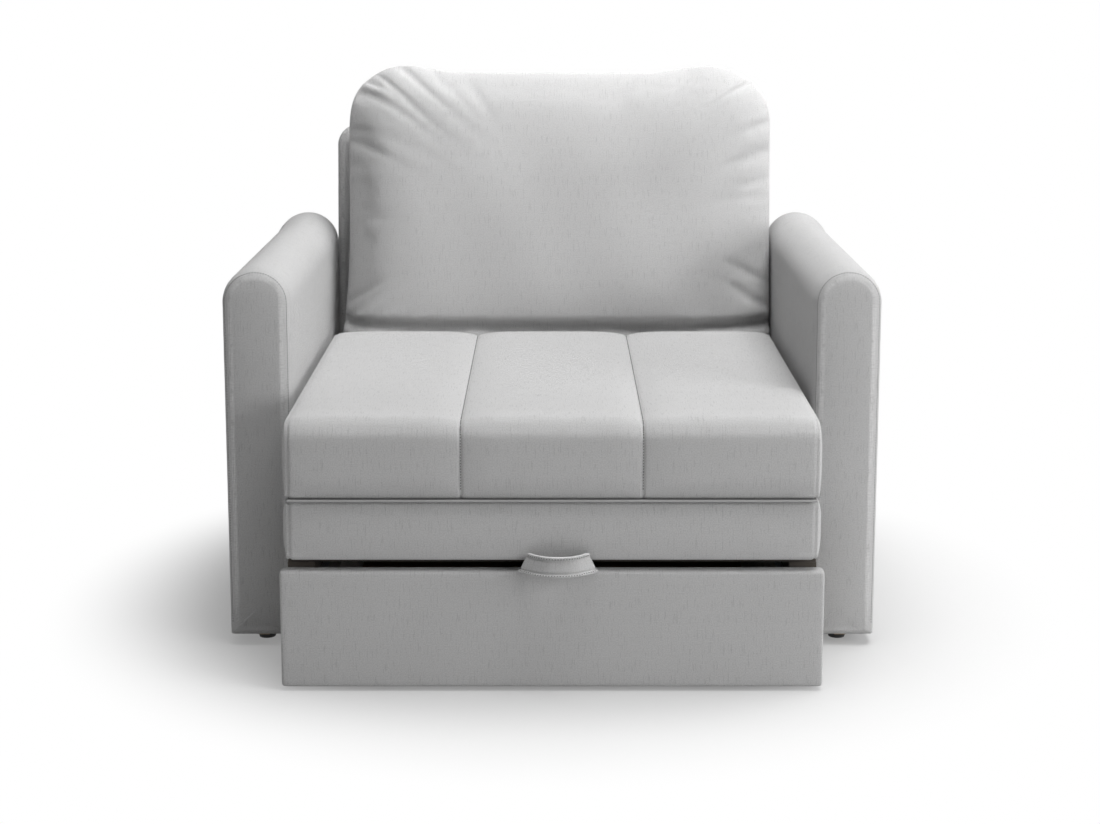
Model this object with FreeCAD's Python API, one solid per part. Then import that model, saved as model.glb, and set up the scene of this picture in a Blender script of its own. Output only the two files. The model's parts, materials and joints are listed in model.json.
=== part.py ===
"""Convertible chair bed: an armchair whose upper seat section folds out over a pull-out drawer.

Millimetres, +Z up, the front of the chair towards -Y. The origin is on the floor, under the
middle of the chair's outer box. Depths are written from the front of the seat and turned into
Y by the function at_depth.
"""
import FreeCAD
import Part
import math
import os

Vector = FreeCAD.Vector

PAST = 1.0                   # how far a cutting shape reaches past what it cuts

# Overall sizes
BED_WIDTH = 796.0            # width of both mattress sections
SIDE_GAP = 5.0               # air between a mattress section and an arm
ARM_THICKNESS = 105.0
ARM_TOP = 600.0              # height of the arm above the floor
ARM_FRONT = 200.0            # depth of the arm's front behind the seat's front
ARM_REAR = 900.0
ARM_FRONT_ROUND = 12.0
ARM_REAR_ROUND = 20.0
ARM_BOARD_INSET = 12.0       # the arm's board lies this far inside its front
ARM_BOARD_REAR_INSET = 6.0   # and this far inside its rear
FLOOR_GAP = 15.0             # height of the glides under the arms

# Seat stack, from the floor up
DRAWER_PANEL_BOTTOM = 6.0
DRAWER_PANEL_TOP = 183.0
LOWER_BOTTOM = 198.0         # underside of the fixed mattress section
FOLD_HEIGHT = 290.0          # line where the two mattress sections meet
UPPER_EDGE_TOP = 402.0       # top of the folding section at its seams
UPPER_CROWN = 9.0            # rise of each sewn channel above its seams
UPPER_LENGTH = 720.0
LOWER_LENGTH = 831.0
CHANNEL_SEAM = 133.0         # distance of each sewn seam from the middle
FRONT_FACE = 2.5             # depth of the mattress sections' front faces
FACE_BULGE = 4.0             # how far the side faces swell between their edges
EDGE_ROUND = 22.0            # rounding of the seat's upper front edge
SMALL_ROUND = 4.0
SIDE_DROP = 10.0             # the folding section's side edges lie this far below its seams

# Fold hinge
FOLD_DEPTH = 0.8             # depth of the hinge axis, just ahead of the faces
HINGE_CORD_RADIUS = 1.5
HINGE_FLANGE = 40.0
HINGE_END = 12.0             # the hinge stops this far inside the sections' sides
HINGE_FLANGE_THICKNESS = 1.0
HINGE_CLEARANCE = 0.4

# Fixed frame
BOARD = 18.0                 # thickness of the chipboard panels
ARM_BOARD_TOP = 540.0
SPACER_END_INSET = 60.0
SPACER_INSET = 8.0
RAIL_WIDTH = 40.0
RAIL_INSET = 6.0             # the rails lie this far inside the mattress's sides
RAIL_BOTTOM = 120.0
RAIL_FRONT = 40.0
RAIL_REAR = 925.0
SLAT_THICKNESS = 12.0
SLAT_WIDTH = 60.0
SLAT_COUNT = 6
SLAT_END_MARGIN = 5.0
SLAT_SEAT = 0.3              # gap between slats and the cushion they carry
FOAM_CORE_BOARD = 12.0       # plywood core in each mattress section
CORE_MARGIN = 60.0
CORE_CLEARANCE = 0.3

# Back
BACK_LEAN = math.radians(8.0)
BACK_BOTTOM = 198.0
BACK_TOP = 768.0
BACK_FRONT_AT_BOTTOM = 843.0
BACK_THICKNESS = 84.0
BACK_HALF_WIDTH = 399.0
BACK_CORNER = 38.0
BACK_EDGE_ROUND = 14.0
BACK_BOARD_CORNER = 10.0
BACK_BOARD_INSET = 40.0
BACK_BOARD_DEPTH = 20.0      # the board lies this far behind the back's front face
BACK_FOOT_DEPTH = 30.0
BACK_FOOT_HEIGHT = 14.0

# Back cushion, in its own leaning frame
CUSHION_HALF_WIDTH = 392.0
CUSHION_HEIGHT = 603.0
CUSHION_THICKNESS = 135.0
CUSHION_DRAW_IN = 9.0        # how far the sides pull in between the corners
CUSHION_TOP_CORNER = 118.0
CUSHION_FOOT_CORNER = 45.0
CUSHION_TOP_DIP = 9.0        # sag of the top edge between its corners
CUSHION_SEAT = 0.3           # gap to the lower section
CUSHION_BACK_GAP = 0.3       # gap to the back
CUSHION_FRONT_GAP = 1.0      # gap to the folding section
# inset from the outline, and distance from the middle as a part of half the thickness
CUSHION_LAYERS = ((40.0, -1.0), (10.0, -0.62), (0.0, 0.0), (10.0, 0.62), (40.0, 1.0))
CUSHION_SINK = 10.0          # how far its foot is pressed flat by the lower section

# Drawer
DRAWER_PANEL_WIDTH = 800.0
DRAWER_SKIN = 7.0            # foam and fabric round the front board
DRAWER_WIDTH = 680.0
DRAWER_REAR = 870.0
DRAWER_SIDE_TOP = 158.0
DRAWER_SIDE_BOTTOM = 50.0
DRAWER_FLOOR_THICKNESS = 5.0
DRAWER_FACE = 1.6            # depth of the drawer's front face
DRAWER_CORNER = 10.0
DRAWER_EDGE_ROUND = 6.0

# Runners
CHANNEL_HEIGHT = 34.0
CHANNEL_WALL = 1.5
TONGUE_HEIGHT = 28.0
RUNNER_CLEARANCE = 0.6       # air between the drawer's parts and the fixed runner
RUNNER_MIDDLE = 138.0
RUNNER_FRONT = 60.0
CHANNEL_REAR = 880.0
TONGUE_START = 40.0          # the tongue begins this far behind the drawer's front board
TONGUE_END = 5.0             # and ends this far short of the drawer's rear

# Castors
WHEEL_RADIUS = 20.0
WHEEL_WIDTH = 16.0
AXLE_RADIUS = 3.0
AXLE_CLEARANCE = 0.05
AXLE_END = 1.0               # how far the axle stands out of the fork
WHEEL_ROUND = 2.0
WHEEL_GAP = 1.0              # air between the wheel and each cheek of the fork
FORK_WALL = 2.5
FORK_PLATE = 3.0
FORK_PLATE_LENGTH = 40.0
FORK_CHEEK_LENGTH = 16.0
FORK_BELOW_AXLE = 6.0
CASTOR_SIDE = 280.0          # distance of each castor from the middle
CASTOR_DEPTHS = (95.0, 805.0)

# Pull strap
STRAP_HALF_WIDTH = 57.0
STRAP_HEIGHT = 25.0
STRAP_REACH = 27.0           # how far the strap bows out ahead of the seat
STRAP_THICKNESS = 3.0
STRAP_TAB = 20.0             # width of each end, sewn on top of the drawer's front
STRAP_TAB_DEPTH = 16.0
STRAP_FOOT_DEPTH = -1.5      # depth where the bow leaves its ends
STRAP_SEAT = 0.3

# Fasteners and glides
BOLT_RADIUS = 3.0
BOLT_HEAD_RADIUS = 6.5
BOLT_HEAD = 3.0
BOLT_SHORT = 2.0             # the arm bolts stop this far short of the board's outer face
BOLT_ENDS = 90.0             # distance of the outer bolts from the arm's ends
BACK_BOLT_HEIGHTS = (255.0, 300.0)
BACK_BOLT_BITE = 30.0        # how far a bolt reaches into the back's board
GLIDE_RADIUS = 16.0
GLIDE_TIP_RADIUS = 13.0
GLIDE_DEPTHS = (250.0, 850.0)

HALF_BED = BED_WIDTH / 2
ARM_INNER = HALF_BED + SIDE_GAP
ARM_MIDDLE = ARM_INNER + ARM_THICKNESS / 2
RAIL_OUTER = HALF_BED - RAIL_INSET
RAIL_INNER = RAIL_OUTER - RAIL_WIDTH
BACK_LENGTH = (BACK_TOP - BACK_BOTTOM) / math.cos(BACK_LEAN)
# the back's rear edge, less what its rounding takes off
REAR = (BACK_FRONT_AT_BOTTOM + BACK_LENGTH * math.sin(BACK_LEAN)
        + BACK_THICKNESS * math.cos(BACK_LEAN)
        - BACK_EDGE_ROUND * (math.cos(BACK_LEAN) + math.sin(BACK_LEAN) - 1))
MIDDLE_DEPTH = (REAR - STRAP_REACH) / 2
SLAT_TOP = LOWER_BOTTOM - SLAT_SEAT
RAIL_TOP = SLAT_TOP - SLAT_THICKNESS


def at_depth(depth):
    """The Y of a point that lies this far behind the front of the seat."""
    return depth - MIDDLE_DEPTH


def box(x_range, depth_range, z_range):
    """A block between three pairs of limits."""
    (x0, x1), (d0, d1), (z0, z1) = x_range, depth_range, z_range
    return Part.makeBox(x1 - x0, d1 - d0, z1 - z0, Vector(x0, at_depth(d0), z0))


def mirrored(shape):
    """The same shape on the other side of the chair."""
    return shape.mirror(Vector(0, 0, 0), Vector(1, 0, 0))


def outline(steps, place):
    """A closed face from a list of points; a step of two points is an arc through the first."""
    start = place(*steps[0])
    edges = []
    here = start
    for step in steps[1:]:
        if isinstance(step[0], tuple):
            middle, end = place(*step[0]), place(*step[1])
            edges.append(Part.Arc(here, middle, end).toShape())
        else:
            end = place(*step)
            edges.append(Part.makeLine(here, end))
        here = end
    if here.distanceToPoint(start) > 1e-6:
        edges.append(Part.makeLine(here, start))
    return Part.Face(Part.Wire(edges))


def corner(centre_u, centre_v, radius, degrees):
    """The middle point of a round corner, seen from its centre."""
    angle = math.radians(degrees)
    return (centre_u + radius * math.cos(angle), centre_v + radius * math.sin(angle))


def rounded_outline(u0, u1, v0, v1, radius, place):
    """A rectangle with four round corners."""
    r = radius
    return outline([
        (u0 + r, v0), (u1 - r, v0), (corner(u1 - r, v0 + r, r, -45), (u1, v0 + r)),
        (u1, v1 - r), (corner(u1 - r, v1 - r, r, 45), (u1 - r, v1)),
        (u0 + r, v1), (corner(u0 + r, v1 - r, r, 135), (u0, v1 - r)),
        (u0, v0 + r), (corner(u0 + r, v0 + r, r, 225), (u0 + r, v0)),
    ], place)


def seen_from_front(depth):
    """Places a flat outline of x and z at one depth."""
    return lambda x, z: Vector(x, at_depth(depth), z)


def seen_from_side(x):
    """Places a flat outline of depth and z at one x."""
    return lambda depth, z: Vector(x, at_depth(depth), z)


def seen_from_above(z):
    """Places a flat outline of x and depth at one height."""
    return lambda x, depth: Vector(x, at_depth(depth), z)


def cylinder_across(radius, x0, x1, depth, z):
    """A cylinder whose axis runs from side to side."""
    return Part.makeCylinder(radius, x1 - x0, Vector(x0, at_depth(depth), z), Vector(1, 0, 0))


# Arms

def arm_board():
    """The upright board inside the left arm."""
    half = BOARD / 2
    return box((-ARM_MIDDLE - half, -ARM_MIDDLE + half),
               (ARM_FRONT + ARM_BOARD_INSET, ARM_REAR - ARM_BOARD_REAR_INSET),
               (FLOOR_GAP, ARM_BOARD_TOP))


def arm_pad():
    """The upholstery of the left arm, with a slot from below for its board."""
    r = ARM_THICKNESS / 2
    middle = -ARM_MIDDLE
    top = ARM_TOP - r
    section = outline([
        (middle - r, FLOOR_GAP), (middle + r, FLOOR_GAP), (middle + r, top),
        (corner(middle, top, r, 45), (middle, ARM_TOP)),
        (corner(middle, top, r, 135), (middle - r, top)),
    ], seen_from_front(ARM_FRONT))
    pad = section.extrude(Vector(0, ARM_REAR - ARM_FRONT, 0))
    front_edges = [e for e in pad.Edges if e.BoundBox.YMax < at_depth(ARM_FRONT) + PAST
                   and e.BoundBox.ZMax > FLOOR_GAP + PAST]
    pad = pad.makeFillet(ARM_FRONT_ROUND, front_edges)
    rear_edges = [e for e in pad.Edges if e.BoundBox.YMin > at_depth(ARM_REAR) - PAST
                  and e.BoundBox.ZMax > FLOOR_GAP + PAST]
    pad = pad.makeFillet(ARM_REAR_ROUND, rear_edges)
    c = CORE_CLEARANCE
    slot = box((middle - BOARD / 2 - c, middle + BOARD / 2 + c),
               (ARM_FRONT + ARM_BOARD_INSET - c, ARM_REAR - ARM_BOARD_REAR_INSET + c),
               (FLOOR_GAP - PAST, ARM_BOARD_TOP + c))
    return pad.cut(slot).cut(rail_spacer()).cut(back_bolts())


def arm_glides():
    """Round plastic feet under both arm boards."""
    feet = [Part.makeCone(GLIDE_TIP_RADIUS, GLIDE_RADIUS, FLOOR_GAP,
                          Vector(side * ARM_MIDDLE, at_depth(depth), 0))
            for side in (-1, 1) for depth in GLIDE_DEPTHS]
    return Part.makeCompound(feet)


# Fixed seat frame

def side_rail():
    """The left rail that carries the slats; it stands out ahead of the arm."""
    return box((-RAIL_OUTER, -RAIL_INNER), (RAIL_FRONT, RAIL_REAR),
               (RAIL_BOTTOM, RAIL_TOP)).cut(arm_bolts())


def rail_spacer():
    """The packing block through the left arm's padding, between its board and the rail."""
    return box((-ARM_MIDDLE + BOARD / 2, -RAIL_OUTER),
               (ARM_FRONT + SPACER_END_INSET, ARM_REAR - SPACER_END_INSET),
               (RAIL_BOTTOM + SPACER_INSET, RAIL_TOP - SPACER_INSET))


def bolt_across(depth, z):
    """One bolt with its head against the left rail, reaching the arm's board."""
    head_face = -RAIL_INNER
    tip = -ARM_MIDDLE - BOARD / 2 + BOLT_SHORT
    shank = cylinder_across(BOLT_RADIUS, tip, head_face, depth, z)
    head = cylinder_across(BOLT_HEAD_RADIUS, head_face, head_face + BOLT_HEAD, depth, z)
    return shank.fuse(head).removeSplitter()


def arm_bolts():
    """The bolts that hold the left arm to its rail, above and behind the runner."""
    z = (RUNNER_MIDDLE + CHANNEL_HEIGHT / 2 + RAIL_TOP) / 2
    depths = (ARM_FRONT + BOLT_ENDS, (ARM_FRONT + ARM_REAR) / 2, ARM_REAR - BOLT_ENDS)
    return Part.makeCompound([bolt_across(depth, z) for depth in depths])


def back_bolts():
    """The bolts from the left arm's board into the edge of the back's board."""
    head_face = -ARM_MIDDLE - BOARD / 2
    tip = -BACK_HALF_WIDTH + BACK_BOARD_INSET + BACK_BOLT_BITE
    bolts = []
    for z in BACK_BOLT_HEIGHTS:
        lean = (z - BACK_BOTTOM) * math.tan(BACK_LEAN)
        middle = (BACK_BOARD_DEPTH + BOARD / 2) / math.cos(BACK_LEAN)
        depth = BACK_FRONT_AT_BOTTOM + lean + middle
        shank = cylinder_across(BOLT_RADIUS, head_face, tip, depth, z)
        head = cylinder_across(BOLT_HEAD_RADIUS, head_face - BOLT_HEAD, head_face, depth, z)
        bolts.append(shank.fuse(head).removeSplitter())
    return Part.makeCompound(bolts)


def slats():
    """The cross slats on top of the rails, evenly spaced."""
    first = RAIL_FRONT + SLAT_END_MARGIN
    last = LOWER_LENGTH - SLAT_WIDTH - SLAT_END_MARGIN
    step = (last - first) / (SLAT_COUNT - 1)
    fronts = [first + i * step for i in range(SLAT_COUNT)]
    return Part.makeCompound([
        box((-RAIL_OUTER, RAIL_OUTER), (front, front + SLAT_WIDTH), (RAIL_TOP, SLAT_TOP))
        for front in fronts])


# Mattress sections

def plan_outline(length, z):
    """The plan of the lower section, whose sides swell a little between its ends."""
    h, b = HALF_BED, FACE_BULGE
    middle = (FRONT_FACE + length) / 2
    return outline([
        (-h + b, FRONT_FACE), (h - b, FRONT_FACE), ((h, middle), (h - b, length)),
        (-h + b, length), ((-h, middle), (-h + b, FRONT_FACE)),
    ], seen_from_above(z))


def section_core(length, z):
    """The plywood core of a mattress section."""
    half = FOAM_CORE_BOARD / 2
    return box((-HALF_BED + CORE_MARGIN, HALF_BED - CORE_MARGIN),
               (FRONT_FACE + CORE_MARGIN, length - CORE_MARGIN), (z - half, z + half))


def core_cavity(length, z):
    """The space for a core, with its clearance."""
    half = FOAM_CORE_BOARD / 2 + CORE_CLEARANCE
    c = CORE_CLEARANCE
    return box((-HALF_BED + CORE_MARGIN - c, HALF_BED - CORE_MARGIN + c),
               (FRONT_FACE + CORE_MARGIN - c, length - CORE_MARGIN + c), (z - half, z + half))


UPPER_CORE_HEIGHT = (FOLD_HEIGHT + UPPER_EDGE_TOP) / 2
LOWER_CORE_HEIGHT = (LOWER_BOTTOM + FOLD_HEIGHT) / 2


def upper_pad():
    """The folding section: three crowned channels that run over its round front edge."""
    h, seam = HALF_BED, CHANNEL_SEAM
    top, crown = UPPER_EDGE_TOP, UPPER_CROWN
    bottom = FOLD_HEIGHT + HINGE_FLANGE_THICKNESS / 2 + HINGE_CLEARANCE
    side_bulge = (h, (bottom + top) / 2)
    outer_crown = (h + seam) / 2
    across = outline([
        (-h + SMALL_ROUND, bottom), (h - SMALL_ROUND, bottom),
        (side_bulge, (h - SMALL_ROUND, top - SIDE_DROP)),
        ((outer_crown, top + crown), (seam, top)),
        ((0, top + crown), (-seam, top)),
        ((-outer_crown, top + crown), (-h + SMALL_ROUND, top - SIDE_DROP)),
        ((-side_bulge[0], side_bulge[1]), (-h + SMALL_ROUND, bottom)),
    ], seen_from_front(FRONT_FACE - PAST)).extrude(Vector(0, UPPER_LENGTH + 2 * PAST, 0))
    r, front, rear, rise = EDGE_ROUND, FRONT_FACE, UPPER_LENGTH, top + crown
    along = outline([
        (front, bottom - PAST), (rear, bottom - PAST), (rear, rise - r),
        (corner(rear - r, rise - r, r, 45), (rear - r, rise)),
        (front + r, rise), (corner(front + r, rise - r, r, 135), (front, rise - r)),
    ], seen_from_side(-h - PAST)).extrude(Vector(BED_WIDTH + 2 * PAST, 0, 0))
    return across.common(along).cut(core_cavity(UPPER_LENGTH, UPPER_CORE_HEIGHT))


def lower_pad():
    """The fixed section, a box cushion with small rounds on all its edges."""
    top = FOLD_HEIGHT - HINGE_FLANGE_THICKNESS / 2 - HINGE_CLEARANCE
    block = plan_outline(LOWER_LENGTH, LOWER_BOTTOM).extrude(Vector(0, 0, top - LOWER_BOTTOM))
    pad = block.makeFillet(SMALL_ROUND, block.Edges)
    return pad.cut(core_cavity(LOWER_LENGTH, LOWER_CORE_HEIGHT))


def fold_hinge():
    """The woven hinge: a cord on the fold line with a flange held between the sections."""
    half = HALF_BED - HINGE_END
    cord = cylinder_across(HINGE_CORD_RADIUS, -half, half, FOLD_DEPTH, FOLD_HEIGHT)
    t = HINGE_FLANGE_THICKNESS / 2
    flange = box((-half, half), (FOLD_DEPTH, HINGE_FLANGE), (FOLD_HEIGHT - t, FOLD_HEIGHT + t))
    return cord.fuse(flange).removeSplitter()


# Back

def back_place(thickness_from_front):
    """Places an outline of x and distance up the leaning back, on a layer of the back."""
    def place(x, up):
        d = BACK_FRONT_AT_BOTTOM + up * math.sin(BACK_LEAN)
        d += thickness_from_front * math.cos(BACK_LEAN)
        z = BACK_BOTTOM + up * math.cos(BACK_LEAN) - thickness_from_front * math.sin(BACK_LEAN)
        return Vector(x, at_depth(d), z)
    return place


def back_layer(inset, from_front, thickness, radius):
    """A slab parallel to the leaning back's front face."""
    w = BACK_HALF_WIDTH - inset
    top = BACK_LENGTH - inset
    face = outline([
        (-w, inset), (w, inset), (w, top - radius),
        (corner(w - radius, top - radius, radius, 45), (w - radius, top)),
        (-w + radius, top), (corner(-w + radius, top - radius, radius, 135), (-w, top - radius)),
    ], back_place(from_front))
    normal = Vector(0, math.cos(BACK_LEAN), -math.sin(BACK_LEAN))
    return face.extrude(normal * thickness)


def back_pad():
    """The upholstered back, closed round its board."""
    slab = back_layer(0.0, 0.0, BACK_THICKNESS, BACK_CORNER)
    low = BACK_TOP - BACK_CORNER - BACK_THICKNESS * math.sin(BACK_LEAN) - PAST
    across = [e for e in slab.Edges if e.BoundBox.ZMin > low and e.Length > BACK_CORNER
              and e.BoundBox.YMax - e.BoundBox.YMin < BACK_CORNER * math.sin(BACK_LEAN) + PAST]
    slab = slab.makeFillet(BACK_EDGE_ROUND, across)
    c = CORE_CLEARANCE
    room = back_layer(BACK_BOARD_INSET - c, BACK_BOARD_DEPTH - c, BOARD + 2 * c,
                      BACK_BOARD_CORNER)
    return slab.cut(room).cut(back_bolts()).cut(mirrored(back_bolts()))


def back_board():
    """The board inside the back."""
    board = back_layer(BACK_BOARD_INSET, BACK_BOARD_DEPTH, BOARD, BACK_BOARD_CORNER)
    return board.cut(back_bolts()).cut(mirrored(back_bolts()))


def back_foot():
    """The cross rail under the back, between the side rails."""
    seat = BACK_BOTTOM - BACK_THICKNESS * math.sin(BACK_LEAN) - SLAT_SEAT
    return box((-RAIL_INNER, RAIL_INNER), (RAIL_REAR - BACK_FOOT_DEPTH, RAIL_REAR),
               (seat - BACK_FOOT_HEIGHT, seat))


# Back cushion

def cushion_place(offset):
    """Places an outline of x and height on a layer of the leaning cushion."""
    foot = FOLD_HEIGHT - CUSHION_SINK
    front_of_back = BACK_FRONT_AT_BOTTOM + (foot - BACK_BOTTOM) * math.tan(BACK_LEAN)
    middle = front_of_back - (CUSHION_THICKNESS / 2 + CUSHION_BACK_GAP) / math.cos(BACK_LEAN)

    def place(x, up):
        d = middle + up * math.sin(BACK_LEAN) + offset * math.cos(BACK_LEAN)
        z = foot + up * math.cos(BACK_LEAN) - offset * math.sin(BACK_LEAN)
        return Vector(x, at_depth(d), z)
    return place


def cushion_outline(inset, offset):
    """The cushion's outline on one layer: drawn-in sides, round corners, a dip in the top."""
    w = CUSHION_HALF_WIDTH - inset
    top, low = CUSHION_HEIGHT - inset, inset
    r = CUSHION_TOP_CORNER
    f = CUSHION_FOOT_CORNER
    middle = (low + top) / 2
    d = CUSHION_DRAW_IN
    return outline([
        (-w + f, low), (w - f, low), (corner(w - f, low + f, f, -45), (w, low + f)),
        ((w - d, middle), (w, top - r)), (corner(w - r, top - r, r, 45), (w - r, top)),
        ((0, top - CUSHION_TOP_DIP), (-w + r, top)),
        (corner(-w + r, top - r, r, 135), (-w, top - r)),
        ((-w + d, middle), (-w, low + f)), (corner(-w + f, low + f, f, 225), (-w + f, low)),
    ], cushion_place(offset)).OuterWire


def back_cushion():
    """The loose cushion: full in the middle and thin at its edge seam."""
    wires = [cushion_outline(inset, part * CUSHION_THICKNESS / 2)
             for inset, part in CUSHION_LAYERS]
    body = Part.makeLoft(wires, True, False)
    floor = FOLD_HEIGHT - HINGE_FLANGE_THICKNESS / 2 - HINGE_CLEARANCE + CUSHION_SEAT
    room = box((-BED_WIDTH, BED_WIDTH), (UPPER_LENGTH + CUSHION_FRONT_GAP, REAR),
               (floor, floor + 2 * CUSHION_HEIGHT))
    return body.common(room)


# Drawer

def drawer_front_board():
    """The board inside the drawer's front."""
    h = DRAWER_PANEL_WIDTH / 2 - DRAWER_SKIN
    front = DRAWER_FACE + DRAWER_SKIN
    return box((-h, h), (front, front + BOARD),
               (DRAWER_PANEL_BOTTOM + DRAWER_SKIN, DRAWER_PANEL_TOP - DRAWER_SKIN))


def drawer_front_pad():
    """The fabric and foam skin round the front board, open at the back."""
    h, c = DRAWER_PANEL_WIDTH / 2, CORE_CLEARANCE
    rear = DRAWER_FACE + DRAWER_SKIN + BOARD
    outer = rounded_outline(-h, h, DRAWER_PANEL_BOTTOM, DRAWER_PANEL_TOP, DRAWER_CORNER,
                            seen_from_front(DRAWER_FACE)).extrude(Vector(0, rear - DRAWER_FACE, 0))
    front_edges = [e for e in outer.Edges if e.BoundBox.YMax < at_depth(DRAWER_FACE) + PAST]
    outer = outer.makeFillet(DRAWER_EDGE_ROUND, front_edges)
    inner = h - DRAWER_SKIN + c
    room = box((-inner, inner), (DRAWER_FACE + DRAWER_SKIN - c, rear + PAST),
               (DRAWER_PANEL_BOTTOM + DRAWER_SKIN - c, DRAWER_PANEL_TOP - DRAWER_SKIN + c))
    return outer.cut(room)


def drawer_side():
    """The left side of the drawer."""
    x = -DRAWER_WIDTH / 2
    return box((x, x + BOARD), (drawer_inside_front(), DRAWER_REAR),
               (DRAWER_SIDE_BOTTOM, DRAWER_SIDE_TOP))


def drawer_inside_front():
    """Depth of the back of the drawer's front board."""
    return DRAWER_FACE + DRAWER_SKIN + BOARD


def drawer_back():
    """The rear wall of the drawer, between its sides."""
    h = DRAWER_WIDTH / 2 - BOARD
    return box((-h, h), (DRAWER_REAR - BOARD, DRAWER_REAR), (DRAWER_SIDE_BOTTOM, DRAWER_SIDE_TOP))


def drawer_floor():
    """The sheet under the drawer's walls, which carries the castors."""
    h = DRAWER_WIDTH / 2
    return box((-h, h), (drawer_inside_front(), DRAWER_REAR),
               (DRAWER_SIDE_BOTTOM - DRAWER_FLOOR_THICKNESS, DRAWER_SIDE_BOTTOM))


def runner_channel():
    """The left runner's fixed channel, on the inner face of the rail."""
    x, open_side = -RAIL_INNER, -DRAWER_WIDTH / 2 - RUNNER_CLEARANCE
    half = CHANNEL_HEIGHT / 2
    outer = box((x, open_side), (RUNNER_FRONT, CHANNEL_REAR),
                (RUNNER_MIDDLE - half, RUNNER_MIDDLE + half))
    w = CHANNEL_WALL
    hollow = box((x + w, open_side + PAST), (RUNNER_FRONT - PAST, CHANNEL_REAR + PAST),
                 (RUNNER_MIDDLE - half + w, RUNNER_MIDDLE + half - w))
    return outer.cut(hollow)


def runner_tongue():
    """The left runner's sliding bar, on the drawer's side."""
    x = -DRAWER_WIDTH / 2
    half = TONGUE_HEIGHT / 2
    reach = -RAIL_INNER + CHANNEL_WALL + RUNNER_CLEARANCE
    return box((reach, x), (drawer_inside_front() + TONGUE_START, DRAWER_REAR - TONGUE_END),
               (RUNNER_MIDDLE - half, RUNNER_MIDDLE + half))


def along_axle(radius, half_length):
    """A cylinder on a castor's axis, even about the castor's middle."""
    return Part.makeCylinder(radius, 2 * half_length, Vector(-half_length, 0, WHEEL_RADIUS),
                             Vector(1, 0, 0))


def castor_fork():
    """One castor's plate and two cheeks, on the origin."""
    top = DRAWER_SIDE_BOTTOM - DRAWER_FLOOR_THICKNESS
    inner = WHEEL_WIDTH / 2 + WHEEL_GAP
    outer = inner + FORK_WALL
    low = WHEEL_RADIUS - FORK_BELOW_AXLE
    plate = Part.makeBox(2 * outer, FORK_PLATE_LENGTH, FORK_PLATE,
                         Vector(-outer, -FORK_PLATE_LENGTH / 2, top - FORK_PLATE))
    cheeks = [Part.makeBox(FORK_WALL, FORK_CHEEK_LENGTH, top - FORK_PLATE - low,
                           Vector(x, -FORK_CHEEK_LENGTH / 2, low)) for x in (-outer, inner)]
    hole = along_axle(AXLE_RADIUS + AXLE_CLEARANCE, outer + PAST)
    return plate.fuse(cheeks).removeSplitter().cut(hole)


def castor_axle():
    """One castor's axle."""
    return along_axle(AXLE_RADIUS, WHEEL_WIDTH / 2 + WHEEL_GAP + FORK_WALL + AXLE_END)


def castor_wheel():
    """One castor's wheel, bored for its axle."""
    wheel = along_axle(WHEEL_RADIUS, WHEEL_WIDTH / 2)
    rims = [e for e in wheel.Edges if e.BoundBox.XMax - e.BoundBox.XMin < PAST]
    bore = along_axle(AXLE_RADIUS + AXLE_CLEARANCE, WHEEL_WIDTH)
    return wheel.makeFillet(WHEEL_ROUND, rims).cut(bore)


def castor_places():
    """The name and place of each castor."""
    places = {}
    for side, x in (("left", -CASTOR_SIDE), ("right", CASTOR_SIDE)):
        for end, depth in zip(("front", "rear"), CASTOR_DEPTHS):
            places[end + "_" + side] = Vector(x, at_depth(depth), 0)
    return places


def pull_strap():
    """The fabric strap: a band bowed ahead of the seat, whose two ends lie on the drawer."""
    w, t, reach = STRAP_HALF_WIDTH, STRAP_THICKNESS, -STRAP_REACH
    foot, face = DRAWER_PANEL_TOP + STRAP_SEAT, STRAP_FOOT_DEPTH
    bow = outline([
        (-w, face), ((0, reach), (w, face)), (w - t * 2, face), ((0, reach + t), (-w + t * 2, face)),
    ], seen_from_above(foot)).extrude(Vector(0, 0, STRAP_HEIGHT))
    tabs = [box((x, x + STRAP_TAB), (face - t, STRAP_TAB_DEPTH), (foot, foot + t))
            for x in (-w, w - STRAP_TAB)]
    room = box((-w, w), (reach - PAST, STRAP_TAB_DEPTH + PAST), (foot, foot + STRAP_HEIGHT))
    return bow.fuse(tabs).common(room).removeSplitter()


def build():
    """Every sub-part by its node name."""
    parts = {
        "arm_pad_left": arm_pad(),
        "arm_board_left": arm_board().cut(arm_bolts()).cut(back_bolts()),
        "arm_bolts_left": arm_bolts(),
        "back_bolts_left": back_bolts(),
        "side_rail_left": side_rail(),
        "rail_spacer_left": rail_spacer().cut(arm_bolts()),
        "drawer_side_left": drawer_side(),
        "runner_channel_left": runner_channel(),
        "runner_tongue_left": runner_tongue(),
    }
    for name in list(parts):
        parts[name.replace("_left", "_right")] = mirrored(parts[name])
    parts.update({
        "arm_glides": arm_glides(),
        "seat_slats": slats(),
        "lower_section_pad": lower_pad(),
        "lower_section_core": section_core(LOWER_LENGTH, LOWER_CORE_HEIGHT),
        "upper_section_pad": upper_pad(),
        "upper_section_core": section_core(UPPER_LENGTH, UPPER_CORE_HEIGHT),
        "fold_hinge": fold_hinge(),
        "back_pad": back_pad(),
        "back_board": back_board(),
        "back_foot": back_foot(),
        "back_cushion": back_cushion(),
        "drawer_front_board": drawer_front_board(),
        "drawer_front_pad": drawer_front_pad(),
        "drawer_back": drawer_back(),
        "drawer_floor": drawer_floor(),
        "pull_strap": pull_strap(),
    })
    for name, place in castor_places().items():
        for piece, make in (("fork", castor_fork), ("axle", castor_axle), ("wheel", castor_wheel)):
            parts["castor_" + piece + "_" + name] = make().translate(place)
    return parts


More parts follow.
